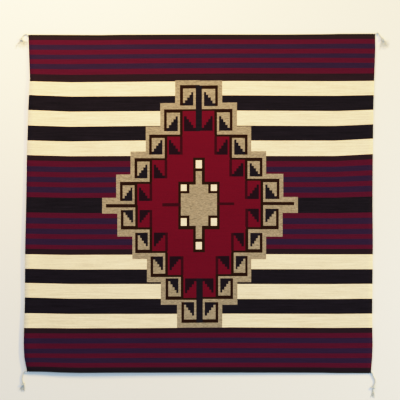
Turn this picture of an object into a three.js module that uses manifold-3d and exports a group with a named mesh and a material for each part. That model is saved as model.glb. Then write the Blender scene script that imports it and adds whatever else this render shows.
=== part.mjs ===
// A hand-woven wool rug lying flat, seen with the head of its pattern towards +Y.
// Sizes are in millimetres, +Z is up and the floor is at z = 0.
// The cloth is one solid. A dark cord is twined along each end of the warp, and at each
// corner the pale cord ends are knotted into a small tassel.
import * as THREE from 'three';
import { mergeVertices } from 'three/addons/utils/BufferGeometryUtils.js';
import Module from 'manifold-3d';

const wasm = await Module();
wasm.setup();

const UP = new THREE.Vector3(0, 0, 1);

// The cloth
const RUG_WIDTH = 1219; // mean, from selvage to selvage
const RUG_LENGTH = 1190; // mean, over both end cords
const CLOTH_THICKNESS = 3.5;
const RIM_ROUND = 0.9; // how far the upper and lower corners of the rim are drawn in
const RIPPLE = 0.2; // unevenness of the upper face
const LONGEST_CELL = 62; // of the grid that the faces are built on
const LIFT_REACH = { end: 75, side: 48 }; // how far in from an edge its lift dies out

// The end cords
const CORD_RADIUS = 2.1;
const CORD_SIDES = 4;
const CORD_TURN = 36; // length of one full twist
const CORD_STEPS_PER_TURN = 8;
const SEAT_GAP = 0.3; // between pieces that touch

// The corner tassels
const TAIL_CORD = { radius: 1.9, sides: 6, turn: 26, step: 3.2 };
const STRAND = { width: 1.9, height: 1.7, taper: 0.4, steps: 7 };
const KNOT = { lumps: 3, radius: 4.4, height: 3.3, spread: 2.6, segments: 10 };

// How far each selvage stands out from its mean line, from the head (down 0) to the foot.
const SELVAGE = [
  { down: 0.0, left: -7.0, right: 7.4 },
  { down: 0.04, left: -8.4, right: 8.1 },
  { down: 0.125, left: -12.3, right: 4.2 },
  { down: 0.21, left: -7.0, right: 1.3 },
  { down: 0.37, left: -1.1, right: -0.8 },
  { down: 0.5, left: 1.0, right: -1.8 },
  { down: 0.62, left: 4.2, right: -0.4 },
  { down: 0.8, left: 5.6, right: -2.8 },
  { down: 0.87, left: 8.4, right: -2.5 },
  { down: 0.92, left: 9.5, right: -1.1 },
  { down: 0.96, left: 7.0, right: -2.9 },
  { down: 1.0, left: -1.8, right: -7.0 },
];

// How far each end stands out from its mean line, from the left selvage (across 0).
const ENDS = [
  { across: 0.0, head: -0.7, foot: -3.5 },
  { across: 0.05, head: -0.8, foot: -3.2 },
  { across: 0.1, head: -1.1, foot: -0.7 },
  { across: 0.155, head: -1.5, foot: 0.7 },
  { across: 0.21, head: -1.8, foot: 0.2 },
  { across: 0.27, head: -0.4, foot: 0.0 },
  { across: 0.5, head: 0.4, foot: -0.4 },
  { across: 0.73, head: 0.0, foot: 0.0 },
  { across: 0.85, head: 1.1, foot: 0.7 },
  { across: 0.9, head: 2.5, foot: 2.1 },
  { across: 1.0, head: 2.8, foot: 2.5 },
];

// How high the edges rise off the floor: the foot from left to right, and each side from
// head to foot. The head lies flat.
const LIFT = [
  { along: 0.0, foot: 3.4, left: 0.0, right: 0.0 },
  { along: 0.1, foot: 5.6, left: 1.4, right: 0.9 },
  { along: 0.22, foot: 6.2, left: 2.6, right: 1.6 },
  { along: 0.35, foot: 4.8, left: 1.0, right: 0.7 },
  { along: 0.5, foot: 4.0, left: 1.9, right: 1.4 },
  { along: 0.65, foot: 3.4, left: 3.0, right: 0.8 },
  { along: 0.8, foot: 2.2, left: 2.2, right: 1.5 },
  { along: 0.92, foot: 0.9, left: 3.6, right: 0.6 },
  { along: 1.0, foot: 0.3, left: 3.4, right: 0.3 },
];

// Each tassel, in mm from its corner: two points that the cord passes, its knot, and the
// fan of loose ends, with the angle of its middle, its width and its bend in degrees.
const TASSELS = [
  {
    name: 'tassel_top_left', across: 0, down: 0,
    run: [[-8.5, 3.2], [-20.5, -2.6]], knot: [-27.5, -15.5],
    fan: { middle: -77, width: 58, bend: 22 }, strands: 7, length: 37,
  },
  {
    name: 'tassel_top_right', across: 1, down: 0,
    run: [[8.2, 3.4], [17.0, -6.6]], knot: [23.5, -20.0],
    fan: { middle: -64, width: 78, bend: 12 }, strands: 8, length: 35,
  },
  {
    name: 'tassel_bottom_left', across: 0, down: 1,
    run: [[-8.2, -7.2], [-15.2, -25.0]], knot: [-14.5, -49.5],
    fan: { middle: -97, width: 54, bend: -12 }, strands: 9, length: 44,
  },
  {
    name: 'tassel_bottom_right', across: 1, down: 1,
    run: [[7.4, -9.8], [14.6, -27.0]], knot: [7.6, -48.5],
    fan: { middle: -84, width: 62, bend: -16 }, strands: 9, length: 52,
  },
];

const woolDark = { color: 0x241c1f, roughness: 0.95, metalness: 0 };
const woolPale = { color: 0xe6ddc4, roughness: 0.92, metalness: 0 };
const woolRed = { color: 0x6a1424, roughness: 0.92, metalness: 0 };

// A value read from a table, straight between its rows.
function read(table, key, at, column) {
  let row = 0;
  while (row < table.length - 2 && table[row + 1][key] < at) {
    row += 1;
  }
  const a = table[row];
  const b = table[row + 1];
  return a[column] + ((b[column] - a[column]) * (at - a[key])) / (b[key] - a[key]);
}

function selvageX(side, down) {
  const out = read(SELVAGE, 'down', down, side);
  return side === 'left' ? -RUG_WIDTH / 2 - out : RUG_WIDTH / 2 + out;
}

function endY(end, across) {
  const out = read(ENDS, 'across', across, end);
  return end === 'head' ? RUG_LENGTH / 2 + out : -RUG_LENGTH / 2 - out;
}

// The plan position of a point across and down the rug, inset is the room for the end cords.
function plan(across, down, inset) {
  const head = endY('head', across) - inset;
  const foot = endY('foot', across) + inset;
  return [
    THREE.MathUtils.lerp(selvageX('left', down), selvageX('right', down), across),
    THREE.MathUtils.lerp(head, foot, down),
  ];
}

function fade(distance, reach) {
  return THREE.MathUtils.smoothstep(reach - distance, 0, reach);
}

// The height of the underside.
function lift(across, down) {
  const foot = fade((1 - down) * RUG_LENGTH, LIFT_REACH.end);
  const left = fade(across * RUG_WIDTH, LIFT_REACH.side);
  const right = fade((1 - across) * RUG_WIDTH, LIFT_REACH.side);
  const sides = left * read(LIFT, 'along', down, 'left') + right * read(LIFT, 'along', down, 'right');
  return foot * read(LIFT, 'along', across, 'foot') + (1 - foot) * sides;
}

function thickness(across, down) {
  const along = Math.sin(across * 31 + 2 * Math.sin(down * 9));
  const cross = Math.cos(down * 37 + 3 * Math.sin(across * 5));
  return CLOTH_THICKNESS + 0.5 * RIPPLE * (along + cross);
}

// Grid lines at every table row and at the given distances from the edges, none further
// apart than the longest cell.
function gridLines(rows, length, fromStart, fromEnd) {
  const starts = fromStart.map((distance) => distance / length);
  const ends = fromEnd.map((distance) => 1 - distance / length);
  const wanted = [0, 1, ...rows, ...starts, ...ends].sort((a, b) => a - b);
  const sorted = wanted.filter((value, i, all) => i === 0 || value - all[i - 1] > 0.0015);
  const lines = [sorted[0]];
  for (const next of sorted.slice(1)) {
    const last = lines[lines.length - 1];
    const parts = Math.ceil(((next - last) * length) / LONGEST_CELL);
    for (let k = 1; k <= parts; k += 1) {
      lines.push(last + ((next - last) * k) / parts);
    }
  }
  return lines;
}

// The cloth is a box of one cell's thickness on the grid lines, its points then moved to
// the outline, the lift and the uneven thickness. The middle row of its rim stands out.
function clothGeometry() {
  const room = 2 * CORD_RADIUS + SEAT_GAP;
  const edges = [10, 22, 35, 48];
  const acrossRows = [...ENDS.map((row) => row.across), ...LIFT.map((row) => row.along)];
  const downRows = [...SELVAGE.map((row) => row.down), ...LIFT.map((row) => row.along)];
  const us = gridLines(acrossRows, RUG_WIDTH, edges, edges);
  const vs = gridLines(downRows, RUG_LENGTH, [], [10, 22, 38, 56, 75]);
  const columns = us.length - 1;
  const rows = vs.length - 1;
  const geometry = new THREE.BoxGeometry(1, 1, 1, columns, rows, 2);
  const position = geometry.getAttribute('position');
  for (let n = 0; n < position.count; n += 1) {
    const i = Math.round((position.getX(n) + 0.5) * columns);
    const j = Math.round((0.5 - position.getY(n)) * rows);
    const layer = Math.round(position.getZ(n) * 2); // -1 underside, 0 rim, 1 upper face
    const [u, v] = [us[i], vs[j]];
    const [x, y] = plan(u, v, room);
    const insetX = layer === 0 ? 0 : RIM_ROUND * (Number(i === 0) - Number(i === columns));
    const insetY = layer === 0 ? 0 : RIM_ROUND * (Number(j === rows) - Number(j === 0));
    const z = lift(u, v) + (thickness(u, v) * (layer + 1)) / 2;
    position.setXYZ(n, x + insetX, y + insetY, z);
  }
  return geometry;
}

// A closed bar laid along a path, its section kept upright. sizeAt gives the half width,
// the half height and the twist for each share of the length.
function bar(path, sides, sizeAt) {
  const steps = path.length - 1;
  const geometry = new THREE.CylinderGeometry(1, 1, 1, sides, steps);
  const position = geometry.getAttribute('position');
  for (let n = 0; n < position.count; n += 1) {
    const k = Math.round((position.getY(n) + 0.5) * steps);
    const before = path[Math.max(0, k - 1)];
    const after = path[Math.min(steps, k + 1)];
    const along = new THREE.Vector3().subVectors(after, before).setZ(0).normalize();
    const side = along.clone().cross(UP);
    const { wide, high, twist } = sizeAt(k / steps);
    const x = position.getX(n);
    const z = position.getZ(n);
    const point = path[k].clone();
    point.addScaledVector(side, wide * (x * Math.cos(twist) - z * Math.sin(twist)));
    point.addScaledVector(UP, high * (x * Math.sin(twist) + z * Math.cos(twist)));
    position.setXYZ(n, ...point.toArray());
  }
  return geometry;
}

function endCordGeometry(end) {
  const down = end === 'head' ? 0 : 1;
  const into = end === 'head' ? -CORD_RADIUS : CORD_RADIUS;
  const turns = RUG_WIDTH / CORD_TURN;
  const steps = Math.round(turns * CORD_STEPS_PER_TURN);
  const path = [];
  for (let k = 0; k <= steps; k += 1) {
    const across = k / steps;
    const [x] = plan(across, down, 0);
    path.push(new THREE.Vector3(x, endY(end, across) + into, lift(across, down) + CORD_RADIUS));
  }
  return bar(path, CORD_SIDES, (share) => ({
    wide: CORD_RADIUS,
    high: CORD_RADIUS,
    twist: share * turns * 2 * Math.PI,
  }));
}

// The twisted cord that runs from a corner of the rug down to the floor and to its knot.
function tailGeometry(tassel, x, y, knot) {
  const outward = tassel.across === 0 ? -1 : 1;
  const inward = tassel.down === 0 ? -CORD_RADIUS : CORD_RADIUS;
  const height = lift(tassel.across, tassel.down) + TAIL_CORD.radius;
  const start = new THREE.Vector3(x + outward * (SEAT_GAP + 0.1), y + inward, height);
  const lead = start.clone().setX(start.x + outward * 2.5);
  const run = tassel.run.map(([dx, dy]) => new THREE.Vector3(x + dx, y + dy, TAIL_CORD.radius));
  const curve = new THREE.CatmullRomCurve3([start, lead, ...run, knot], false, 'centripetal');
  const path = curve.getSpacedPoints(Math.round(curve.getLength() / TAIL_CORD.step));
  path.forEach((point) => point.setZ(Math.max(point.z, TAIL_CORD.radius)));
  return bar(path, TAIL_CORD.sides, (share) => ({
    wide: TAIL_CORD.radius,
    high: TAIL_CORD.radius,
    twist: (share * curve.getLength() * 2 * Math.PI) / TAIL_CORD.turn,
  }));
}

// A loose yarn end: three-sided, lying level on the floor and narrowing to its tip.
function strandGeometry(root, angle, bend, length) {
  const path = [];
  const at = root.clone();
  for (let k = 0; k <= STRAND.steps; k += 1) {
    const share = k / STRAND.steps;
    const heading = angle + bend * share;
    path.push(at.clone().setZ(STRAND.height * (1 - STRAND.taper * share) / 3));
    at.x += (Math.cos(heading) * length) / STRAND.steps;
    at.y += (Math.sin(heading) * length) / STRAND.steps;
  }
  return bar(path, 3, (share) => ({
    wide: (STRAND.width / Math.sqrt(3)) * (1 - STRAND.taper * share),
    high: ((STRAND.height * 2) / 3) * (1 - STRAND.taper * share),
    twist: 0,
  }));
}

// The knot is a few rounded lumps pressed together, with its lowest points on the floor.
function knotLumps(knot, middle) {
  const lumps = [];
  for (let k = 0; k < KNOT.lumps; k += 1) {
    const turn = middle + (k * 2 * Math.PI) / KNOT.lumps;
    const radius = KNOT.radius * (1 - 0.12 * k);
    const lump = new THREE.SphereGeometry(1, KNOT.segments, 6);
    lump.rotateX(Math.PI / 2);
    lump.scale(radius, radius * 0.86, KNOT.height);
    lump.translate(
      knot.x + KNOT.spread * Math.cos(turn),
      knot.y + KNOT.spread * Math.sin(turn),
      KNOT.height,
    );
    lumps.push(lump);
  }
  return lumps;
}

function tasselGeometry(tassel) {
  const [x, y] = plan(tassel.across, tassel.down, 0);
  const knot = new THREE.Vector3(x + tassel.knot[0], y + tassel.knot[1], TAIL_CORD.radius);
  const middle = THREE.MathUtils.degToRad(tassel.fan.middle);
  const parts = [tailGeometry(tassel, x, y, knot), ...knotLumps(knot, middle)];
  for (let k = 0; k < tassel.strands; k += 1) {
    const share = k / (tassel.strands - 1) - 0.5;
    const angle = middle + THREE.MathUtils.degToRad(tassel.fan.width) * share;
    const bend = THREE.MathUtils.degToRad(tassel.fan.bend) + 0.5 * share;
    const length = tassel.length * (0.86 + 0.14 * Math.cos(k * 2.4));
    parts.push(strandGeometry(knot, angle, bend, length));
  }
  return joined(parts);
}

// Closed geometries joined to one solid. Slivers between the roots are dropped.
function joined(parts) {
  const solids = parts.map((part) => {
    part.deleteAttribute('normal');
    part.deleteAttribute('uv');
    const merged = mergeVertices(part, 1e-4);
    return new wasm.Manifold(new wasm.Mesh({
      numProp: 3,
      vertProperties: merged.getAttribute('position').array,
      triVerts: new Uint32Array(merged.index.array),
    }));
  });
  const bodies = solids.reduce((whole, next) => whole.add(next)).decompose();
  bodies.sort((a, b) => b.volume() - a.volume());
  const { vertProperties, triVerts } = bodies[0].getMesh();
  const geometry = new THREE.BufferGeometry();
  geometry.setAttribute('position', new THREE.Float32BufferAttribute(vertProperties, 3));
  geometry.setIndex(Array.from(triVerts));
  return geometry;
}

const group = new THREE.Group();

function piece(name, geometry, look) {
  geometry.computeVertexNormals();
  const mesh = new THREE.Mesh(geometry, new THREE.MeshStandardMaterial(look));
  mesh.name = name;
  group.add(mesh);
}

piece('rug', clothGeometry(), woolRed);
piece('end_cord_top', endCordGeometry('head'), woolDark);
piece('end_cord_bottom', endCordGeometry('foot'), woolDark);
for (const tassel of TASSELS) {
  piece(tassel.name, tasselGeometry(tassel), woolPale);
}

// The origin is on the floor under the middle of the whole outline.
const box = new THREE.Box3().setFromObject(group);
const middle = box.getCenter(new THREE.Vector3());
for (const mesh of group.children) {
  mesh.position.set(-middle.x, -middle.y, -box.min.z);
}

export default group;
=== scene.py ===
import math
import random

import bpy
import numpy as np
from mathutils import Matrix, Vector


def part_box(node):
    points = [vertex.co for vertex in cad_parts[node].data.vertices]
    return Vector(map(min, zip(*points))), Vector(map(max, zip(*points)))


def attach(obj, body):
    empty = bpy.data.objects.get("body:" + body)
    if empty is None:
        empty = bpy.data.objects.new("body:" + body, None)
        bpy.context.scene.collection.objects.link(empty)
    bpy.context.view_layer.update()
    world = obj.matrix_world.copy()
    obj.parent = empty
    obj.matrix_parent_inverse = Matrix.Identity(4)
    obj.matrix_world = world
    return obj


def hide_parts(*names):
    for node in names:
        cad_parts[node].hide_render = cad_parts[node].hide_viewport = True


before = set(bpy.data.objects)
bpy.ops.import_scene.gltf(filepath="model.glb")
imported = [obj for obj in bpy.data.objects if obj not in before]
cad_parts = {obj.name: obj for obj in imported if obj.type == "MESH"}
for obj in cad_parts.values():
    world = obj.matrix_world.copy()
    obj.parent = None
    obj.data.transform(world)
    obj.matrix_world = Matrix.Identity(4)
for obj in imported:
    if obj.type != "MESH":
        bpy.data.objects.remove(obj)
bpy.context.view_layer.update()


# The cloth
# One weft-faced tapestry of handspun wool, woven from the foot to the head on a standing
# loom. The bands run from selvage to selvage and the stepped diamond is woven in with
# them, so the design is the same on both faces and a colour changes at a pick.

MM = 0.001
RUG_WIDTH = 1219.0  # mean, from selvage to selvage
RUG_LENGTH = 1190.0  # mean, over both end cords
CLOTH_THICKNESS = 3.5
RIPPLE = 0.2  # unevenness of the upper face
CORD_ROOM = 4.0  # left at each end for its twined cord
SELVAGE_PULL = 262.0  # how far in the pull of a selvage is felt
WAIST = 600.0  # from the head to the pick where the diamond is widest
STEP = 7.7  # one step of the pattern, across the rug
STAIRS = 5  # the steps of a stepped triangle
OUTLINE = 9.2  # a dark outline, measured across the rug
LINE = 12.0  # the same, measured down the rug
THIN = 7.0  # the same, where it lies over the red

# How far each selvage stands out from its mean line, from the head to the foot.
SELVAGE = {
    "down": [0.0, 0.04, 0.125, 0.21, 0.37, 0.5, 0.62, 0.8, 0.87, 0.92, 0.96, 1.0],
    "left": [-7.0, -8.4, -12.3, -7.0, -1.1, 1.0, 4.2, 5.6, 8.4, 9.5, 7.0, -1.8],
    "right": [7.4, 8.1, 4.2, 1.3, -0.8, -1.8, -0.4, -2.8, -2.5, -1.1, -2.9, -7.0],
}

# How far each end stands out from its mean line, from the left selvage to the right.
ENDS = {
    "across": [0.0, 0.05, 0.1, 0.155, 0.21, 0.27, 0.5, 0.73, 0.85, 0.9, 1.0],
    "head": [-0.7, -0.8, -1.1, -1.5, -1.8, -0.4, 0.4, 0.0, 1.1, 2.5, 2.8],
    "foot": [-6.2, -5.9, -3.4, -2.0, -2.5, -2.7, -3.1, -2.7, -2.0, -0.6, -0.2],
}

# How high the edges rise off the floor: the foot from the left to the right, and each
# side from the head to the foot.
LIFT = {
    "along": [0.0, 0.1, 0.22, 0.35, 0.5, 0.65, 0.8, 0.92, 1.0],
    "foot": [3.4, 5.6, 6.2, 4.8, 4.0, 3.4, 2.2, 0.9, 0.3],
    "left": [0.0, 1.4, 2.6, 1.0, 1.9, 3.0, 2.2, 3.6, 3.4],
    "right": [0.0, 0.9, 1.6, 0.7, 1.4, 0.8, 1.5, 0.6, 0.3],
}
LIFT_REACH = {"end": 75.0, "side": 48.0}

# How far the bands sag below a straight line, for a few heights down the rug.
SAG_ACROSS = [0.0, 0.125, 0.33, 0.6, 0.89, 1.0]
SAG = [
    {"down": 0.07, "sag": [3.0, 3.5, 0.5, -2.0, -2.0, -1.0]},
    {"down": 0.2, "sag": [-4.5, 2.0, 1.0, -2.0, 0.0, -3.5]},
    {"down": 0.31, "sag": [-1.0, 2.5, -1.0, -1.0, -0.5, -7.5]},
    {"down": 0.36, "sag": [-3.0, 1.0, 0.0, 0.5, 0.5, -6.5]},
    {"down": 0.42, "sag": [-1.5, 2.0, 0.0, 0.0, 0.0, -6.0]},
    {"down": 0.56, "sag": [-3.0, -0.5, 0.0, -1.0, 0.0, -1.5]},
    {"down": 0.65, "sag": [-1.0, 1.5, 0.5, -1.5, -0.5, -0.5]},
    {"down": 0.78, "sag": [-5.0, -0.5, 0.0, 1.0, 1.0, -0.5]},
    {"down": 0.87, "sag": [0.0, 1.5, 1.0, -2.0, 0.0, -1.0]},
    {"down": 0.93, "sag": [1.5, 1.5, 0.0, -0.5, 0.5, -0.5]},
]

# The bands from the head down, each a plain one or a run of stripes that starts and ends
# with red, with their heights.
BANDS = [
    {"yarn": "brown_black", "heights": [17.0]},
    {"yarn": "stripes", "heights": [16.5, 17.0, 17.0, 15.5, 17.0, 18.5, 19.5]},
    {"yarn": "brown_black", "heights": [26.5]},
    {"yarn": "cream", "heights": [50.5]},
    {"yarn": "black", "heights": [53.5]},
    {"yarn": "cream", "heights": [52.5]},
    {"yarn": "black", "heights": [52.0]},
    {"yarn": "cream", "heights": [53.0]},
    {"yarn": "brown_black", "heights": [18.5]},
    {"yarn": "stripes", "heights": [19.5, 18.5, 17.5, 19.5, 16.0, 20.0, 18.0]},
    {"yarn": "black", "heights": [54.5]},
    {"yarn": "stripes", "heights": [18.5, 20.0, 17.0, 18.5, 16.5, 20.5, 15.0]},
    {"yarn": "brown_black", "heights": [19.0]},
    {"yarn": "cream", "heights": [52.0]},
    {"yarn": "black", "heights": [51.5]},
    {"yarn": "cream", "heights": [53.0]},
    {"yarn": "black", "heights": [52.0]},
    {"yarn": "cream", "heights": [49.5]},
    {"yarn": "brown_black", "heights": [18.0]},
    {"yarn": "stripes", "heights": [17.5, 18.0, 18.0, 18.0, 17.0, 17.5, 16.5]},
    {"yarn": "brown_black", "heights": [18.5]},
]

# The diamond, a quarter at a time, from its point to its widest step. From the middle line:
# edge, the outer side of the pale rim, side, that of the dark outline, and inner, the inner
# side of the step. From the head: rim, where the pale rim starts, line, where the dark
# outline does, and the tip and the end of the stepped triangle.
UPPER_LEFT = [
    {"edge": 86.5, "side": 68.5, "inner": 14.0, "rim": 161.0, "line": 177.5, "tip": 202.5, "end": 249.5},
    {"edge": 139.0, "side": 125.5, "inner": 69.5, "rim": 241.0, "line": 262.5, "tip": 287.5, "end": 340.0},
    {"edge": 190.5, "side": 178.0, "inner": 123.5, "rim": 323.5, "line": 353.0, "tip": 371.5, "end": 422.0},
    {"edge": 243.5, "side": 229.5, "inner": 176.5, "rim": 411.0, "line": 434.0, "tip": 457.0, "end": 505.0},
    {"edge": 294.0, "side": 280.5, "inner": 229.0, "rim": 491.0, "line": 517.5, "tip": 538.0, "end": 584.5},
]
UPPER_RIGHT = [
    {"edge": 79.0, "side": 63.5, "inner": 7.5, "rim": 162.5, "line": 179.5, "tip": 203.0, "end": 252.0},
    {"edge": 131.0, "side": 115.0, "inner": 60.5, "rim": 240.5, "line": 262.5, "tip": 287.5, "end": 338.5},
    {"edge": 182.0, "side": 168.0, "inner": 113.5, "rim": 323.5, "line": 352.0, "tip": 369.5, "end": 421.5},
    {"edge": 234.0, "side": 221.5, "inner": 168.0, "rim": 409.5, "line": 432.0, "tip": 451.5, "end": 498.5},
    {"edge": 294.0, "side": 280.0, "inner": 223.5, "rim": 489.0, "line": 506.5, "tip": 527.5, "end": 578.0},
]
LOWER_LEFT = [
    {"edge": 80.0, "side": 64.5, "inner": 12.0, "rim": 1031.5, "line": 1014.0, "tip": 988.5, "end": 940.0},
    {"edge": 136.0, "side": 120.0, "inner": 66.5, "rim": 949.5, "line": 932.0, "tip": 908.0, "end": 858.0},
    {"edge": 186.0, "side": 173.0, "inner": 121.5, "rim": 871.0, "line": 852.0, "tip": 827.5, "end": 780.5},
    {"edge": 237.0, "side": 226.0, "inner": 175.5, "rim": 789.5, "line": 767.5, "tip": 743.5, "end": 696.0},
    {"edge": 290.0, "side": 277.5, "inner": 227.0, "rim": 709.5, "line": 684.5, "tip": 660.5, "end": 616.5},
]
LOWER_RIGHT = [
    {"edge": 79.5, "side": 65.0, "inner": 10.5, "rim": 1031.5, "line": 1013.5, "tip": 988.0, "end": 940.5},
    {"edge": 132.5, "side": 117.0, "inner": 64.5, "rim": 950.0, "line": 928.5, "tip": 906.0, "end": 857.0},
    {"edge": 181.0, "side": 169.0, "inner": 119.5, "rim": 870.0, "line": 849.5, "tip": 826.0, "end": 779.5},
    {"edge": 233.5, "side": 220.5, "inner": 170.5, "rim": 790.5, "line": 768.5, "tip": 745.5, "end": 698.0},
    {"edge": 291.5, "side": 277.5, "inner": 223.0, "rim": 711.0, "line": 685.0, "tip": 659.0, "end": 612.5},
]

# The widest step on each side, and the dark bar that points outwards in it.
WINGS = [
    {"side": -1, "edge": 343.5, "rim": 573.0, "foot": 629.0, "bar": 595.5, "bar_foot": 607.5},
    {"side": 1, "edge": 345.5, "rim": 570.5, "foot": 627.0, "bar": 588.5, "bar_foot": 599.5},
]
WING_INNER = 285.0
BAR_INNER = 224.0
BAR_INSET = 13.5  # from the wing's edge to the tip of its bar

# The heart: the tan square, the neck that runs through it with a white square at each tip,
# the white corners of the square and the short bars beside it.
HEART = {"left": -66.0, "right": 60.5, "head": 527.0, "foot": 673.5, "outline": (517.0, 684.5)}
NECK = {"left": -13.7, "right": 8.4, "outline": (432.5, 765.5), "tan": (480.0, 718.5)}
NECK_WHITES = [(442.0, 469.5), (729.5, 756.5)]
WHITE_CORNER = {"left": 20.5, "right": 21.5, "head": 22.5, "foot": 28.0}
SIDE_BARS = [
    {"across": (-66.0, -131.5), "down": (592.5, 604.0)},
    {"across": (60.5, 121.5), "down": (590.5, 600.0)},
]

patches = []


def weave(yarn, x1, x2, y1, y2):
    """A patch of one yarn, from the middle line and the head, over what is there."""
    patches.append((yarn, min(x1, x2), max(x1, x2), min(y1, y2), max(y1, y2)))


def weave_bands():
    pick = 0.0
    for band in BANDS:
        for number, height in enumerate(band["heights"]):
            yarn = band["yarn"]
            if yarn == "stripes":
                yarn = ("stripe_red", "navy")[number % 2]
            weave(yarn, -RUG_WIDTH / 2, RUG_WIDTH / 2, pick, pick + height)
            pick += height


def weave_stairs(yarn, x, step, tip, end):
    """One stepped triangle: steps side by side from its tip, each lower than the last."""
    for k in range(STAIRS):
        weave(yarn, x + step * k, x + step * (k + 1), tip + (end - tip) * k / STAIRS, end)


def weave_quarter(side, down, levels):
    """One quarter of the diamond: its pale rim, the red inside it, and in each step one
    triangle on the rim's yarn and one that faces it on the red. down is 1 in the upper
    half and -1 in the lower."""
    bar = levels[0]["inner"]
    for level in levels:
        weave("taupe", side * level["edge"], 0, level["rim"], WAIST)
    for level in levels[1:]:
        weave("field_red", side * (level["inner"] - STEP), 0, level["line"], WAIST)
    for k, level in enumerate(levels):
        line, tip, end = level["line"], level["tip"], level["end"]
        outline = level["side"]
        weave("walnut", side * outline, side * (outline - OUTLINE), line, end)
        reach = levels[k - 1]["inner"] - STEP if k > 1 else bar
        weave("walnut", side * outline, side * reach, line, line + down * THIN)
        turn = max(level["inner"] - OUTLINE, 0)
        weave("walnut", side * outline, side * turn, line, line + down * LINE)
        step = (outline - OUTLINE - STEP - level["inner"]) / STAIRS
        weave_stairs("black", side * (level["inner"] + STEP), side * step, tip, end)
        if k > 0:
            x = level["inner"] - 2 * STEP
            step = (levels[k - 1]["inner"] - x) / STAIRS
            weave_stairs("deep_brown", side * x, side * step, tip, end)
    for level, after in zip(levels[1:], [*levels[2:], None]):
        x = level["inner"]
        stop = after["line"] if after else WAIST
        weave("walnut", side * x, side * (x - OUTLINE), level["line"], stop)
        if after:
            weave("dark_red", side * x, side * (x - OUTLINE), stop + down * THIN, after["end"])
    weave("black", side * bar, 0, levels[0]["line"], levels[1]["end"])


def weave_wings():
    for wing in WINGS:
        side, edge = wing["side"], wing["edge"]
        tip = side * (edge - BAR_INSET)
        weave("taupe", side * edge, side * WING_INNER, wing["rim"], wing["foot"])
        weave("walnut", tip, side * BAR_INNER, wing["bar"], wing["bar_foot"])


def weave_heart():
    left, right, head, foot = HEART["left"], HEART["right"], HEART["head"], HEART["foot"]
    weave("walnut", left - OUTLINE, right + OUTLINE, *HEART["outline"])
    weave("walnut", NECK["left"] - OUTLINE, NECK["right"] + OUTLINE, *NECK["outline"])
    weave("taupe", left, right, head, foot)
    weave("taupe", NECK["left"], NECK["right"], *NECK["tan"])
    for white in NECK_WHITES:
        weave("white", NECK["left"], NECK["right"], *white)
    for outer, x in [(left, left + WHITE_CORNER["left"]), (right, right - WHITE_CORNER["right"])]:
        for edge, y in [(head, head + WHITE_CORNER["head"]), (foot, foot - WHITE_CORNER["foot"])]:
            dark_x = x + math.copysign(OUTLINE, x - outer)
            dark_y = y + math.copysign(OUTLINE, y - edge)
            weave("walnut", outer, dark_x, edge, dark_y)
            weave("white", outer, x, edge, y)
    for bar in SIDE_BARS:
        weave("dark_red", *bar["across"], *bar["down"])


weave_bands()
weave_quarter(-1, 1, UPPER_LEFT)
weave_quarter(1, 1, UPPER_RIGHT)
weave_quarter(-1, -1, LOWER_LEFT)
weave_quarter(1, -1, LOWER_RIGHT)
weave_wings()
weave_heart()


NEAREST_LINES = 1.4  # two lines of the mesh nearer than this are one
END_GAP = 2.0  # between the end cords' room and the next line
WIDEST_CELL = 19.0
TALLEST_CELL = 18.0


def settled(values, nearest):
    """The lines in order, without those that are nearer than this to the one before."""
    lines = []
    for value in sorted(values):
        if not lines or value - lines[-1] > nearest:
            lines.append(value)
    return np.array(lines)


def filled(lines, longest):
    """The same lines, with more between them where they are further apart than this."""
    parts = [lines[:1]]
    for first, last in zip(lines[:-1], lines[1:]):
        count = math.ceil((last - first) / longest)
        parts.append(np.linspace(first, last, count + 1)[1:])
    return np.concatenate(parts)


def painted(columns, rows):
    """The yarn of each cell between the lines."""
    cells = np.full((len(rows) - 1, len(columns) - 1), "brown_black", dtype="U12")
    for yarn, x1, x2, y1, y2 in patches:
        i = [int(np.abs(columns - x).argmin()) for x in (x1, x2)]
        j = [int(np.abs(rows - y).argmin()) for y in (y1, y2)]
        cells[j[0] : j[1], i[0] : i[1]] = yarn
    return cells


def smoothstep(value, reach):
    share = np.clip(value / reach, 0, 1)
    return share * share * (3 - 2 * share)


def ripple_at(across, down):
    """The unevenness of the upper face: slow waves, about five across and six down."""
    wave = np.sin(across * 31 + 2 * np.sin(down * 9)) + np.cos(down * 37 + 3 * np.sin(across * 5))
    return 0.5 * RIPPLE * wave


def lift_at(across, down):
    """Height of the underside."""
    foot = smoothstep(LIFT_REACH["end"] - (1 - down) * RUG_LENGTH, LIFT_REACH["end"])
    left = smoothstep(LIFT_REACH["side"] - across * RUG_WIDTH, LIFT_REACH["side"])
    right = smoothstep(LIFT_REACH["side"] - (1 - across) * RUG_WIDTH, LIFT_REACH["side"])
    sides = left * np.interp(down, LIFT["along"], LIFT["left"])
    sides = sides + right * np.interp(down, LIFT["along"], LIFT["right"])
    return foot * np.interp(across, LIFT["along"], LIFT["foot"]) + (1 - foot) * sides


def sag_at(across, down):
    """How far a band's line lies below a straight one, with the ends of the rug in it."""
    stations = [0.0, *(row["down"] for row in SAG), 1.0]
    rows = [-np.interp(across, ENDS["across"], ENDS["head"])]
    rows += [np.interp(across, SAG_ACROSS, row["sag"]) for row in SAG]
    rows += [np.interp(across, ENDS["across"], ENDS["foot"])]
    table = np.array(rows)
    return np.array([np.interp(down, stations, column) for column in table.T]).T


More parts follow.
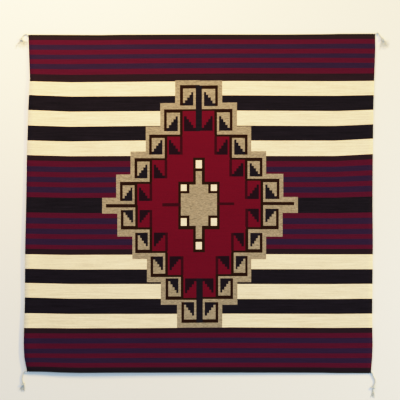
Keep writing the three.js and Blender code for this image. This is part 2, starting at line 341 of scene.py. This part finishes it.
def plan_at(x, y):
    """Where the lines x from the middle and y from the head lie on the floor."""
    across = x / RUG_WIDTH + 0.5
    down = (y - CORD_ROOM) / (RUG_LENGTH - 2 * CORD_ROOM)
    left = np.interp(down, SELVAGE["down"], SELVAGE["left"])[:, None]
    right = np.interp(down, SELVAGE["down"], SELVAGE["right"])[:, None]
    from_left = np.clip(1 - (x + RUG_WIDTH / 2) / SELVAGE_PULL, 0, 1)
    from_right = np.clip(1 - (RUG_WIDTH / 2 - x) / SELVAGE_PULL, 0, 1)
    plan_x = x[None, :] - left * from_left + right * from_right
    plan_y = RUG_LENGTH / 2 - y[:, None] - sag_at(across, down)
    return plan_x, plan_y, across, down


# The middle of the mean outline, in the frame's own place.
rug_low, rug_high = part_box("rug")
MIDDLE_X = rug_low.x / MM + RUG_WIDTH / 2 + max(SELVAGE["left"])
MIDDLE_Y = rug_high.y / MM - RUG_LENGTH / 2 - max(ENDS["head"]) + CORD_ROOM

# The rounded rim: how far in, and how high, from 1 at the upper face to -1 at the lower.
RIM = [(0.9, 1.0), (0.3, 0.7), (0.0, 0.0), (0.3, -0.7), (0.9, -1.0)]


def cloth_mesh():
    """Both faces on the same lines, and a rounded rim between them. Returns the mesh and
    the names of its yarns."""
    end_lines = [CORD_ROOM, RUG_LENGTH - CORD_ROOM]
    wanted_x = [x for patch in patches for x in patch[1:3]]
    wanted_y = [y for patch in patches for y in patch[3:5]]
    wanted_y = [y for y in wanted_y if end_lines[0] + END_GAP < y < end_lines[1] - END_GAP]
    columns = filled(settled(wanted_x, NEAREST_LINES), WIDEST_CELL)
    rows = filled(settled(wanted_y + end_lines, NEAREST_LINES), TALLEST_CELL)
    cells = painted(columns, rows)
    plan_x, plan_y, across, down = plan_at(columns, rows)
    u, v = np.meshgrid(across, down)
    under = lift_at(u, v)
    thick = CLOTH_THICKNESS + ripple_at(u, v)
    index = np.arange(u.size).reshape(u.shape)
    loop = np.concatenate([index[0, :-1], index[:-1, -1], index[-1, :0:-1], index[:0:-1, 0]])
    outward_x = np.zeros(u.shape)
    outward_x[:, 0], outward_x[:, -1] = -1, 1
    outward_y = np.zeros(u.shape)
    outward_y[0, :], outward_y[-1, :] = 1, -1

    def points(inset, share):
        x = plan_x - inset * outward_x + MIDDLE_X
        y = plan_y - inset * outward_y + MIDDLE_Y
        z = under + thick * (1 + share) / 2
        return np.stack([x, y, z], axis=-1).reshape(-1, 3)

    top, bottom = points(*RIM[0]), points(*RIM[-1])
    between = [points(*row)[loop] for row in RIM[1:-1]]
    verts = np.concatenate([top, bottom, *between])
    uv = np.stack([u, 1 - v], axis=-1).reshape(-1, 2)
    uv_all = np.concatenate([uv, uv, *[uv[loop]] * len(between)])

    a, b = index[:-1, :-1], index[:-1, 1:]
    c, d = index[1:, 1:], index[1:, :-1]
    upper = np.stack([a, d, c, b], axis=-1).reshape(-1, 4)
    lower = np.stack([a, b, c, d], axis=-1).reshape(-1, 4) + u.size
    rings = [loop]
    rings += [2 * u.size + k * len(loop) + np.arange(len(loop)) for k in range(len(between))]
    rings += [loop + u.size]
    sides = []
    for first, second in zip(rings[:-1], rings[1:]):
        after_first, after_second = np.roll(first, -1), np.roll(second, -1)
        sides.append(np.stack([first, after_first, after_second, second], axis=-1))
    faces = np.concatenate([upper, lower, *sides])

    yarns = sorted(set(cells.flat))
    number = {yarn: k for k, yarn in enumerate(yarns)}
    of_cell = np.vectorize(number.get)(cells)
    of_side = np.concatenate([of_cell[0, :], of_cell[:, -1], of_cell[-1, ::-1], of_cell[::-1, 0]])
    of_face = np.concatenate([of_cell.ravel(), of_cell.ravel(), *[of_side] * len(sides)])

    mesh = bpy.data.meshes.new("cloth")
    mesh.from_pydata((verts * MM).tolist(), [], faces.tolist())
    mesh.polygons.foreach_set("material_index", of_face.astype(np.int32))
    mesh.polygons.foreach_set("use_smooth", np.ones(len(faces), dtype=bool))
    layer = mesh.uv_layers.new(name="OFBake")
    layer.data.foreach_set("uv", uv_all[faces.ravel()].ravel())
    mesh.update()
    return mesh, yarns


def linear(red, green, blue):
    """A colour as the eye reads it, from 0 to 255, as the shader wants it."""
    parts = [value / 255 for value in (red, green, blue)]
    parts = [p / 12.92 if p < 0.04045 else ((p + 0.055) / 1.055) ** 2.4 for p in parts]
    return (*parts, 1.0)


class Wiring:
    """Adds nodes to a node tree and joins them."""

    def __init__(self, tree):
        self.tree = tree

    def node(self, kind, **settings):
        made = self.tree.nodes.new(kind)
        for name, value in settings.items():
            setattr(made, name, value)
        return made

    def feed(self, socket, value):
        """Joins another node's output to the socket, or gives the socket a plain value."""
        if isinstance(value, bpy.types.NodeSocket):
            self.tree.links.new(value, socket)
        else:
            socket.default_value = value

    def math(self, operation, *values):
        made = self.node("ShaderNodeMath", operation=operation)
        for socket, value in zip(made.inputs, values):
            self.feed(socket, value)
        return made.outputs[0]

    def noise(self, vector, scale, detail=2.0, rough=0.5):
        made = self.node("ShaderNodeTexNoise")
        self.feed(made.inputs["Vector"], vector)
        self.feed(made.inputs["Scale"], scale)
        self.feed(made.inputs["Detail"], detail)
        self.feed(made.inputs["Roughness"], rough)
        return made.outputs["Fac"]

    def stretched(self, vector, scale):
        made = self.node("ShaderNodeMapping")
        self.feed(made.inputs["Vector"], vector)
        self.feed(made.inputs["Scale"], scale)
        return made.outputs["Vector"]

    def mix(self, share, first, second):
        """A mix of two colours. Of this node's sockets, 6 and 7 are its colours."""
        made = self.node("ShaderNodeMix", data_type="RGBA")
        self.feed(made.inputs[0], share)
        self.feed(made.inputs[6], first)
        self.feed(made.inputs[7], second)
        return made.outputs[2]


def group_of(name, inputs, outputs):
    """An empty node group with named sockets. Each is (name, kind, value)."""
    tree = bpy.data.node_groups.new(name, "ShaderNodeTree")
    for title, kind, value in inputs:
        socket = tree.interface.new_socket(title, in_out="INPUT", socket_type=kind)
        socket.default_value = value
    for title, kind in outputs:
        tree.interface.new_socket(title, in_out="OUTPUT", socket_type=kind)
    wiring = Wiring(tree)
    return wiring, wiring.node("NodeGroupInput").outputs, wiring.node("NodeGroupOutput").inputs


# The noise behind each unevenness of the wool: turns to the metre along the weft, along
# the warp and through the cloth, and how much finer detail it has.
WOOL_NOISE = {
    "Shade": {"turns": (1.6, 9.0, 1.0), "detail": 2.0, "rough": 0.5},
    "Streak": {"turns": (9.0, 240.0, 20.0), "detail": 3.0, "rough": 0.6},
    "Fleck": {"turns": (120.0, 360.0, 160.0), "detail": 4.0, "rough": 0.65},
}
WOOL_ROUGHNESS = {"least": 0.82, "fleck": 0.16}


def spun_wool_group():
    """Handspun yarn as a colour: long shades along the weft, where one batch of wool ends
    and the next begins, streaks from pick to pick, and flecks of lighter and darker wool."""
    wiring, given, result = group_of(
        "spun_wool",
        [
            ("Yarn", "NodeSocketColor", (0.5, 0.5, 0.5, 1)),
            ("Shade", "NodeSocketFloat", 0.1),
            ("Streak", "NodeSocketFloat", 0.1),
            ("Fleck", "NodeSocketFloat", 0.1),
        ],
        [("Colour", "NodeSocketColor"), ("Roughness", "NodeSocketFloat")],
    )
    place = wiring.node("ShaderNodeTexCoord").outputs["Object"]
    noise = {}
    value = 1.0
    for size, form in WOOL_NOISE.items():
        turns = wiring.stretched(place, form["turns"])
        noise[size] = wiring.noise(turns, 1.0, form["detail"], form["rough"])
        even = wiring.math("MULTIPLY_ADD", noise[size], 2.0, -1.0)
        value = wiring.math("MULTIPLY_ADD", even, given[size], value)
    bright = wiring.node("ShaderNodeHueSaturation")
    wiring.tree.links.new(given["Yarn"], bright.inputs["Color"])
    wiring.tree.links.new(value, bright.inputs["Value"])
    wiring.tree.links.new(bright.outputs["Color"], result["Colour"])
    uneven, least = WOOL_ROUGHNESS["fleck"], WOOL_ROUGHNESS["least"]
    rough = wiring.math("MULTIPLY_ADD", noise["Fleck"], uneven, least)
    wiring.tree.links.new(rough, result["Roughness"])
    return wiring.tree


# The weave, its widths in metres: how far the ribs and the picks wander off straight lines,
# how the uneven spin of the yarn moves and thickens a pick, and the form of rib and bead.
RIB_WIDTH = 0.00305
BEAD_HEIGHT = 0.0017
WANDER = {"turns": 22.0, "rib": 0.0012, "pick": -0.0016}
SPIN = {"turns": (60.0, 420.0, 60.0), "pick": 0.0005, "thinnest": 0.75, "thicker": 0.5}
RIB = {"share": 0.55, "roundness": 0.6}
BEAD = {"share": 0.45, "roundness": 0.7}


def weft_faced_group():
    """The weave as a relief: a rounded rib over each warp, made of wefts that pass over
    every second warp, so the beads of one rib lie between those of the next. It also gives
    a mask of the grooves between ribs and beads, for painted shade there."""
    wiring, given, result = group_of(
        "weft_faced",
        [
            ("Rib width", "NodeSocketFloat", RIB_WIDTH),
            ("Bead height", "NodeSocketFloat", BEAD_HEIGHT),
        ],
        [("Relief", "NodeSocketFloat"), ("Groove shade", "NodeSocketFloat")],
    )
    place = wiring.node("ShaderNodeTexCoord").outputs["Object"]
    wander = wiring.noise(place, WANDER["turns"])
    spin = wiring.noise(wiring.stretched(place, SPIN["turns"]), 1.0)
    axes = wiring.node("ShaderNodeSeparateXYZ")
    wiring.tree.links.new(place, axes.inputs[0])
    x = wiring.math("MULTIPLY_ADD", wander, WANDER["rib"], axes.outputs["X"])
    y = wiring.math("MULTIPLY_ADD", wander, WANDER["pick"], axes.outputs["Y"])
    y = wiring.math("MULTIPLY_ADD", spin, SPIN["pick"], y)
    rib = wiring.math("DIVIDE", x, given["Rib width"])
    every_second = wiring.math("FLOORED_MODULO", wiring.math("FLOOR", rib), 2.0)
    bead = wiring.math("DIVIDE", y, given["Bead height"])
    bead = wiring.math("MULTIPLY_ADD", every_second, 0.5, bead)

    def dome(value):
        """1 in the middle of each turn and 0 at its ends."""
        centred = wiring.math("MULTIPLY_ADD", wiring.math("FRACT", value), 2.0, -1.0)
        return wiring.math("SUBTRACT", 1.0, wiring.math("MULTIPLY", centred, centred))

    ribs = wiring.math("POWER", dome(rib), RIB["roundness"])
    beads = wiring.math("POWER", dome(bead), BEAD["roundness"])
    both = wiring.math("MULTIPLY", ribs, RIB["share"])
    both = wiring.math("MULTIPLY_ADD", beads, BEAD["share"], both)
    thickness = wiring.math("MULTIPLY_ADD", spin, SPIN["thicker"], SPIN["thinnest"])
    wiring.tree.links.new(wiring.math("MULTIPLY", both, thickness), result["Relief"])
    # Mask for painted shade: 1 in the grooves between ribs and beads, 0 on their crowns.
    groove_shade = wiring.math("SUBTRACT", 1.0, wiring.math("MULTIPLY", ribs, beads))
    wiring.tree.links.new(groove_shade, result["Groove shade"])
    return wiring.tree


spun_wool = spun_wool_group()
weft_faced = weft_faced_group()


def new_shader(name, colour):
    """A material with an empty node tree, its shader joined to the output."""
    material = bpy.data.materials.new(name)
    material.diffuse_color = colour
    material.use_nodes = True
    wiring = Wiring(material.node_tree)
    material.node_tree.nodes.clear()
    shader = wiring.node("ShaderNodeBsdfPrincipled")
    output = wiring.node("ShaderNodeOutputMaterial")
    wiring.tree.links.new(shader.outputs[0], output.inputs["Surface"])
    return material, wiring, shader


def add_wool(wiring, colour, shade, streak, fleck):
    """The spun wool of one yarn, as a node."""
    wool = wiring.node("ShaderNodeGroup", node_tree=spun_wool)
    for name, value in zip(("Yarn", "Shade", "Streak", "Fleck"), (colour, shade, streak, fleck)):
        wool.inputs[name].default_value = value
    return wool


def add_relief(wiring, shader, height, strength, distance):
    """Makes the surface look raised where the height is 1, by a distance in metres."""
    bump = wiring.node("ShaderNodeBump")
    bump.inputs["Strength"].default_value = strength
    bump.inputs["Distance"].default_value = distance
    wiring.tree.links.new(height, bump.inputs["Height"])
    wiring.tree.links.new(bump.outputs[0], shader.inputs["Normal"])


# The grooves of the weave: the painted shade in them, its colour as a share of the yarn's
# and how much of it shows in the deepest, and the depth of the relief.
GROOVE_SHADE_AND_RELIEF = {"dark": 0.45, "shade_share": 0.5, "strength": 0.6, "depth": 0.0007}


def woven_yarn(name, dye, shade, streak, fleck):
    """The cloth's material where it is woven of this yarn, with painted shade in the grooves of its weave.
    """
    colour = linear(*dye)
    material, wiring, shader = new_shader(name, colour)
    wool = add_wool(wiring, colour, shade, streak, fleck)
    weave_relief = wiring.node("ShaderNodeGroup", node_tree=weft_faced)
    # Painted shade: the yarn's colour darkened in the grooves, where ribs and beads would shade it.
    dark = tuple(GROOVE_SHADE_AND_RELIEF["dark"] * part for part in colour[:3]) + (1.0,)
    deep = wiring.math("MULTIPLY", weave_relief.outputs["Groove shade"], GROOVE_SHADE_AND_RELIEF["shade_share"])
    wool_with_painted_shade = wiring.mix(deep, wool.outputs["Colour"], dark)
    wiring.tree.links.new(wool_with_painted_shade, shader.inputs["Base Color"])
    wiring.tree.links.new(wool.outputs["Roughness"], shader.inputs["Roughness"])
    height = weave_relief.outputs["Relief"]
    add_relief(wiring, shader, height, GROOVE_SHADE_AND_RELIEF["strength"], GROOVE_SHADE_AND_RELIEF["depth"])
    shader.inputs["Specular IOR Level"].default_value = 0.08
    return material


# The yarns: undyed cream and white, carded taupe, dyed reds and blue, and the browns and
# blacks of dark sheep.
YARNS = {
    "cream": {"dye": (247, 231, 193), "shade": 0.03, "streak": 0.4, "fleck": 0.18},
    "white": {"dye": (249, 232, 200), "shade": 0.02, "streak": 0.2, "fleck": 0.15},
    "taupe": {"dye": (158, 146, 123), "shade": 0.05, "streak": 0.3, "fleck": 1.1},
    "black": {"dye": (30, 26, 35), "shade": 0.07, "streak": 0.9, "fleck": 0.5},
    "brown_black": {"dye": (43, 29, 38), "shade": 0.07, "streak": 0.3, "fleck": 0.25},
    "deep_brown": {"dye": (36, 16, 28), "shade": 0.07, "streak": 0.3, "fleck": 0.25},
    "walnut": {"dye": (42, 22, 12), "shade": 0.07, "streak": 0.3, "fleck": 0.25},
    "dark_red": {"dye": (60, 12, 26), "shade": 0.07, "streak": 0.3, "fleck": 0.3},
    "stripe_red": {"dye": (84, 20, 48), "shade": 0.05, "streak": 0.2, "fleck": 0.15},
    "field_red": {"dye": (105, 14, 41), "shade": 0.05, "streak": 0.12, "fleck": 0.1},
    "navy": {"dye": (51, 33, 62), "shade": 0.06, "streak": 0.25, "fleck": 0.2},
}

cloth, cloth_yarns = cloth_mesh()
woven_rug = bpy.data.objects.new("woven_rug", cloth)
bpy.context.scene.collection.objects.link(woven_rug)
for yarn in cloth_yarns:
    cloth.materials.append(woven_yarn("wool_" + yarn, **YARNS[yarn]))
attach(woven_rug, "root")
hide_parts("rug")


# The end cords
# Along each end of the warp, two strong dark cords are twined round each other and through
# the warp loops. They keep the picks from slipping off, and their turns show as a fine
# scallop along the head and the foot.

CORD_RADIUS = 2.1
PLY_RADIUS = 1.7
CORD_SWING = 2.6
CORE_RADIUS = 1.2  # the warp loops inside the twined cords
PLY_TURN = 20.0  # a scallop at every half turn
PLY_SIDES = 8
CORD_POINTS = 1085  # along each cord
FIBRE_GRAIN = {"turns": 900.0, "detail": 3.0, "rough": 0.6, "strength": 0.5, "depth": 0.0004}


def tube_rows(path, radii, sides):
    """Rings of points round a path, kept upright."""
    path = np.asarray(path, dtype=float)
    along = np.gradient(path, axis=0)
    along /= np.linalg.norm(along, axis=1)[:, None]
    side = np.cross(along, (0.0, 0.0, 1.0))
    side /= np.maximum(np.linalg.norm(side, axis=1), 1e-6)[:, None]
    up = np.cross(side, along)
    turn = np.arange(sides) * 2 * math.pi / sides
    ring = side[:, None] * np.cos(turn)[None, :, None] + up[:, None] * np.sin(turn)[None, :, None]
    return path[:, None] + ring * np.asarray(radii, dtype=float)[:, None, None]


class Yarnwork:
    """Collects tubes, and makes one mesh of them."""

    def __init__(self):
        self.verts, self.faces = [], []

    def tube(self, path, radii, sides):
        """A tube along a path, closed at both ends."""
        rows = tube_rows(path, radii, sides)
        base = len(self.verts)
        count = len(rows)
        self.verts.extend(rows.reshape(-1, 3).tolist())
        for j in range(count - 1):
            for i in range(sides):
                a, b = base + j * sides + i, base + j * sides + (i + 1) % sides
                self.faces.append((a, b, b + sides, a + sides))
        self.faces.append(tuple(base + i for i in reversed(range(sides))))
        self.faces.append(tuple(base + (count - 1) * sides + i for i in range(sides)))

    def piece(self, name, material):
        mesh = bpy.data.meshes.new(name)
        verts = (np.array(self.verts) + (MIDDLE_X, MIDDLE_Y, 0.0)) * MM
        mesh.from_pydata(verts.tolist(), [], self.faces)
        mesh.polygons.foreach_set("use_smooth", np.ones(len(self.faces), dtype=bool))
        mesh.materials.append(material)
        made = bpy.data.objects.new(name, mesh)
        bpy.context.scene.collection.objects.link(made)
        return made


def plies(path, count, turn, swing, rise, start=0.0):
    """The centre lines of plies laid round a path, this far to its sides and up and down."""
    path = np.asarray(path, dtype=float)
    steps = np.linalg.norm(np.diff(path, axis=0), axis=1)
    length = np.concatenate([[0.0], np.cumsum(steps)])
    along = np.gradient(path, axis=0)
    along /= np.linalg.norm(along, axis=1)[:, None]
    side = np.cross(along, (0.0, 0.0, 1.0))
    up = np.cross(side, along)
    for k in range(count):
        angle = (start + length / turn * 2 * math.pi + k * 2 * math.pi / count)[:, None]
        yield path + swing * side * np.cos(angle) + rise * up * np.sin(angle)


def edge_point(across, end):
    """A point of the rug's outline at an end: 0 is the head and 1 the foot."""
    left = np.interp(end, SELVAGE["down"], SELVAGE["left"])
    right = np.interp(end, SELVAGE["down"], SELVAGE["right"])
    x = (across - 0.5) * RUG_WIDTH - left * (1 - across) + right * across
    if end == 0:
        return x, RUG_LENGTH / 2 + np.interp(across, ENDS["across"], ENDS["head"])
    return x, -RUG_LENGTH / 2 - np.interp(across, ENDS["across"], ENDS["foot"])


def cord_yarn(name, dye, shade, fleck):
    """Plied wool, with a fine grain of fibres."""
    colour = linear(*dye)
    material, wiring, shader = new_shader(name, colour)
    wool = add_wool(wiring, colour, shade, shade, fleck)
    wiring.tree.links.new(wool.outputs["Colour"], shader.inputs["Base Color"])
    wiring.tree.links.new(wool.outputs["Roughness"], shader.inputs["Roughness"])
    place = wiring.node("ShaderNodeTexCoord").outputs["Object"]
    grain = FIBRE_GRAIN
    fibres = wiring.noise(place, grain["turns"], grain["detail"], grain["rough"])
    add_relief(wiring, shader, fibres, grain["strength"], grain["depth"])
    shader.inputs["Specular IOR Level"].default_value = 0.2
    shader.inputs["Sheen Weight"].default_value = 0.08
    shader.inputs["Sheen Roughness"].default_value = 0.6
    return material


dark_cord_wool = cord_yarn("wool_cord_dark", dye=(16, 11, 13), shade=0.15, fleck=0.2)
for name, node, end, into in [
    ("cord_head", "end_cord_top", 0, -CORD_SWING),
    ("cord_foot", "end_cord_bottom", 1, CORD_SWING),
]:
    share = np.linspace(0.0, 1.0, CORD_POINTS)
    x, y = edge_point(share, end)
    z = lift_at(share, np.full_like(share, float(end))) + CORD_RADIUS
    line = np.stack([x, y + into, z], axis=-1)
    work = Yarnwork()
    for ply in plies(line, 2, PLY_TURN, CORD_SWING, CORD_RADIUS - PLY_RADIUS):
        work.tube(ply, np.full(len(ply), PLY_RADIUS), PLY_SIDES)
    work.tube(line, np.full(len(line), CORE_RADIUS), PLY_SIDES)
    cord = work.piece(name, dark_cord_wool)
    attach(cord, "root")
    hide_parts(node)


# The corner tassels
# At each corner the ends of the cords, of undyed pale wool, are twisted together, tied in
# a knot that lies on the floor and left to fray.

TAIL_RADIUS = 1.9
TAIL_PLY = 1.15
TAIL_TURN = 13.0
TAIL_LEAD = [0.4, 2.5]  # how far out of the corner the cord starts, and then runs straight

# The knot's path and cord, and the loose ends, which are two plies, with their fibres. Ply
# and swing are shares of a loose end's width, and fan and curl of the tassel's fan.
KNOT = {"size": 1.8, "points": 73, "weave": 1.4, "height": 3.0, "radius": 1.55}
STRAND = {"width": 1.5, "tip": 0.45, "ply": 0.62, "swing": 0.19, "turn": 6.0, "sides": 5}
STRAND_WAY = {"rise": 1.6, "wave": 0.12}
FIBRE = {"count": 5, "radius": 0.16, "fan": 0.3, "curl": 0.8, "shortest": 0.7, "sides": 3}
FIBRE_WAY = {"rise": 1.8, "wave": 0.2}
LOOSE_POINTS = 15
RESTING = 0.55  # the height of a loose end where it lies on the floor

# In mm from the corner: two points that the cord passes, and its knot. Then the middle
# angle of the loose ends, the width of their fan and their bend, in degrees, and how many
# there are and how long.
TASSELS = [
    {
        "node": "tassel_top_left", "across": 0, "end": 0, "run": [(-8.0, 3.6), (-18.0, -2.0)],
        "knot": (-25.0, -15.0), "middle": -80, "width": 84, "bend": 14, "strands": 8, "length": 39,
    },
    {
        "node": "tassel_top_right", "across": 1, "end": 0, "run": [(8.2, 5.0), (16.5, -5.0)],
        "knot": (26.0, -19.0), "middle": -66, "width": 62, "bend": -4, "strands": 8, "length": 40,
    },
    {
        "node": "tassel_bottom_left", "across": 0, "end": 1, "run": [(-11.0, -4.0), (-17.0, -24.0)],
        "knot": (-13.5, -46.0), "middle": -98, "width": 34, "bend": -8, "strands": 7, "length": 29,
    },
    {
        "node": "tassel_bottom_right", "across": 1, "end": 1, "run": [(8.0, -10.5), (15.2, -29.0)],
        "knot": (8.6, -50.5), "middle": -94, "width": 9, "bend": -2, "strands": 6, "length": 40,
    },
]


def smooth_path(points, step):
    """A curve through the points, which turns evenly where they are unevenly spaced."""
    points = [np.array(p, dtype=float) for p in points]
    points = [2 * points[0] - points[1], *points, 2 * points[-1] - points[-2]]
    path = []
    for before, start, stop, after in zip(points, points[1:], points[2:], points[3:]):
        pairs = ((before, start), (start, stop), (stop, after))
        gaps = [np.linalg.norm(b - a) ** 0.5 for a, b in pairs]
        t0, t1 = 0.0, gaps[0]
        t2, t3 = t1 + gaps[1], t1 + gaps[1] + gaps[2]
        count = max(3, int(np.linalg.norm(stop - start) / step))
        for t in np.linspace(t1, t2, count, endpoint=False):
            a1 = (t1 - t) / (t1 - t0) * before + (t - t0) / (t1 - t0) * start
            a2 = (t2 - t) / (t2 - t1) * start + (t - t1) / (t2 - t1) * stop
            a3 = (t3 - t) / (t3 - t2) * stop + (t - t2) / (t3 - t2) * after
            b1 = (t2 - t) / (t2 - t0) * a1 + (t - t0) / (t2 - t0) * a2
            b2 = (t3 - t) / (t3 - t1) * a2 + (t - t1) / (t3 - t1) * a3
            path.append((t2 - t) / (t2 - t1) * b1 + (t - t1) / (t2 - t1) * b2)
    path.append(points[-2])
    return np.array(path)


def knot_path(centre, angle):
    """An overhand knot pressed flat."""
    t = np.linspace(0, 2 * math.pi, KNOT["points"])
    x = np.sin(t) + 2 * np.sin(2 * t)
    y = np.cos(t) - 2 * np.cos(2 * t)
    flat_x = KNOT["size"] * (x * math.cos(angle) - y * math.sin(angle))
    flat_y = KNOT["size"] * (x * math.sin(angle) + y * math.cos(angle))
    height = centre[2] - KNOT["weave"] * np.sin(3 * t)
    return np.stack([centre[0] + flat_x, centre[1] + flat_y, height], axis=-1)


def loose_end(root, angle, bend, length, rise, wave):
    """The path of a loose yarn end that comes down to lie on the floor."""
    share = np.linspace(0.0, 1.0, LOOSE_POINTS)
    heading = angle + bend * share + wave * np.sin(share * 7 + angle * 5)
    step = length / (len(share) - 1)
    x = root[0] + np.concatenate([[0.0], np.cumsum(np.cos(heading) * step)[:-1]])
    y = root[1] + np.concatenate([[0.0], np.cumsum(np.sin(heading) * step)[:-1]])
    z = rise * np.exp(-6 * share) + RESTING
    return np.stack([x, y, z], axis=-1)


pale_wool = cord_yarn("wool_cord_pale", dye=(198, 201, 192), shade=0.06, fleck=0.12)
chance = random.Random(11)
for tassel in TASSELS:
    corner_x, corner_y = (float(v) for v in edge_point(float(tassel["across"]), tassel["end"]))
    outward = -1 if tassel["across"] == 0 else 1
    inward = -CORD_RADIUS if tassel["end"] == 0 else CORD_RADIUS
    height = float(lift_at(np.array(float(tassel["across"])), np.array(float(tassel["end"]))))
    start = (corner_x + outward * TAIL_LEAD[0], corner_y + inward, height + TAIL_RADIUS)
    lead = (start[0] + outward * TAIL_LEAD[1], start[1], start[2])
    run = [(corner_x + dx, corner_y + dy, TAIL_RADIUS) for dx, dy in tassel["run"]]
    knot = (corner_x + tassel["knot"][0], corner_y + tassel["knot"][1], TAIL_RADIUS)
    path = smooth_path([start, lead, *run, knot], 1.0)
    path[:, 2] = np.maximum(path[:, 2], TAIL_RADIUS)
    work = Yarnwork()
    for ply in plies(path, 2, TAIL_TURN, TAIL_RADIUS - TAIL_PLY, TAIL_RADIUS - TAIL_PLY):
        work.tube(ply, np.full(len(ply), TAIL_PLY), PLY_SIDES)
    middle = math.radians(tassel["middle"])
    fan = math.radians(tassel["width"])
    knotted = knot_path((knot[0], knot[1], KNOT["height"]), middle)
    work.tube(knotted, np.full(len(knotted), KNOT["radius"]), PLY_SIDES)
    for k in range(tassel["strands"]):
        share = k / (tassel["strands"] - 1) - 0.5
        angle = middle + fan * share
        bend = math.radians(tassel["bend"]) + 0.5 * share
        length = tassel["length"] * (0.86 + 0.14 * math.cos(k * 2.4))  # by turns shorter
        strand = loose_end(knot, angle, bend, length, **STRAND_WAY)
        size = STRAND["width"] / 2 * np.linspace(1.0, STRAND["tip"], len(strand))
        swing = STRAND["swing"] * STRAND["width"]
        for ply in plies(strand, 2, STRAND["turn"], swing, swing, k):
            work.tube(ply, size * STRAND["ply"], STRAND["sides"])
        for _ in range(FIBRE["count"]):
            turn = angle + chance.uniform(-FIBRE["fan"], FIBRE["fan"]) * fan
            curl = bend + chance.uniform(-FIBRE["curl"], FIBRE["curl"]) * fan
            reach = length * chance.uniform(FIBRE["shortest"], 1.0)
            fibre = loose_end(knot, turn, curl, reach, **FIBRE_WAY)
            work.tube(fibre, np.full(len(fibre), FIBRE["radius"]), FIBRE["sides"])
    piece = work.piece(tassel["node"].replace("tassel", "corner_tassel"), pale_wool)
    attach(piece, "root")
    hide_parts(tassel["node"])


# The room
# A plain pale floor under a soft bluish light. A warm lamp beyond the head is low enough to
# draw the foot on the floor, a far one on the right draws the left side, and a weak cool
# one fills in from the lower right. The camera looks straight down.

REACH = 9.0
FLOOR_HEIGHT = -0.0002
CORNERS = [(-REACH, -REACH), (REACH, -REACH), (REACH, REACH), (-REACH, REACH)]
floor_mesh = bpy.data.meshes.new("floor")
floor_mesh.from_pydata([(*corner, FLOOR_HEIGHT) for corner in CORNERS], [], [(0, 1, 2, 3)])
floor = bpy.data.objects.new("floor", floor_mesh)
bpy.context.scene.collection.objects.link(floor)
floor_paint, wiring, shader = new_shader("floor_paint", (0.5, 0.5, 0.5, 1.0))
place = wiring.node("ShaderNodeTexCoord").outputs["Object"]
cloudy = wiring.noise(place, 0.9)
paint = wiring.mix(cloudy, linear(236, 234, 222), linear(241, 239, 227))
wiring.tree.links.new(paint, shader.inputs["Base Color"])
shader.inputs["Roughness"].default_value = 0.9
shader.inputs["Specular IOR Level"].default_value = 0.1
floor_mesh.materials.append(floor_paint)

LAMPS = [
    {
        "name": "lamp_head", "place": (-0.6, 1.6, 0.93), "target": (-0.36, -0.1, 0.0),
        "size": (0.9, 0.25), "power": 38.9, "colour": (1.0, 0.638, 0.249),
    },
    {
        "name": "lamp_far", "place": (6.5, 3.4, 2.6), "target": (0.0, -0.2, 0.0),
        "size": (0.7, 0.5), "power": 702.0, "colour": (1.0, 0.654, 0.075),
    },
    {
        "name": "lamp_right", "place": (1.5, -0.4, 0.7), "target": (0.1, -0.1, 0.0),
        "size": (1.0, 0.8), "power": 4.63, "colour": (0.923, 0.952, 1.0),
    },
]
for lamp in LAMPS:
    light = bpy.data.lights.new(lamp["name"], "AREA")
    light.shape = "RECTANGLE"
    light.size, light.size_y = lamp["size"]
    light.energy, light.color = lamp["power"], lamp["colour"]
    made = bpy.data.objects.new(lamp["name"], light)
    bpy.context.scene.collection.objects.link(made)
    made.location = lamp["place"]
    aim = Vector(lamp["target"]) - Vector(lamp["place"])
    made.rotation_euler = aim.to_track_quat("-Z", "Y").to_euler()

world = bpy.data.worlds.new("room")
bpy.context.scene.world = world
world.use_nodes = True
sky = world.node_tree.nodes["Background"]
sky.inputs["Color"].default_value = (0.559, 0.729, 1.0, 1)
sky.inputs["Strength"].default_value = 0.837

# The picture's tones: a little more contrast in the dark yarns, and a soft shoulder that
# keeps the cream and the floor from washing out under the near lamp.
TONES = {
    "light": [0.0, 0.03, 0.1, 0.3, 0.5, 0.7, 0.85, 1.0, 1.2, 1.5, 2.0, 2.6],
    "shown": [0.0, 0.019, 0.085, 0.298, 0.497, 0.655, 0.745, 0.815, 0.88, 0.935, 0.98, 1.0],
}
view = bpy.context.scene.view_settings
view.view_transform = "Standard"
view.look = "None"
view.use_curve_mapping = True
brightest = TONES["light"][-1]
tone_curve = view.curve_mapping
tone_curve.white_level = (brightest, brightest, brightest)
tone_curve.extend = "EXTRAPOLATED"
tones = tone_curve.curves[3].points
tones[0].location, tones[-1].location = (0.0, 0.0), (1.0, TONES["shown"][-1])
for light, shown in list(zip(TONES["light"], TONES["shown"]))[1:-1]:
    tones.new(light / brightest, shown)
tone_curve.update()

SENSOR = 36.0
VIEW_WIDTH = 1.4072  # what the picture shows of the cloth's upper face
VIEW_DISTANCE = 3.597  # from that face to the camera
camera_data = bpy.data.cameras.new("camera")
camera = bpy.data.objects.new("camera", camera_data)
bpy.context.scene.collection.objects.link(camera)
camera.location = (-0.006, 0.060, 3.6)
camera_data.sensor_width = SENSOR
camera_data.lens = SENSOR * VIEW_DISTANCE / VIEW_WIDTH
bpy.context.scene.camera = camera
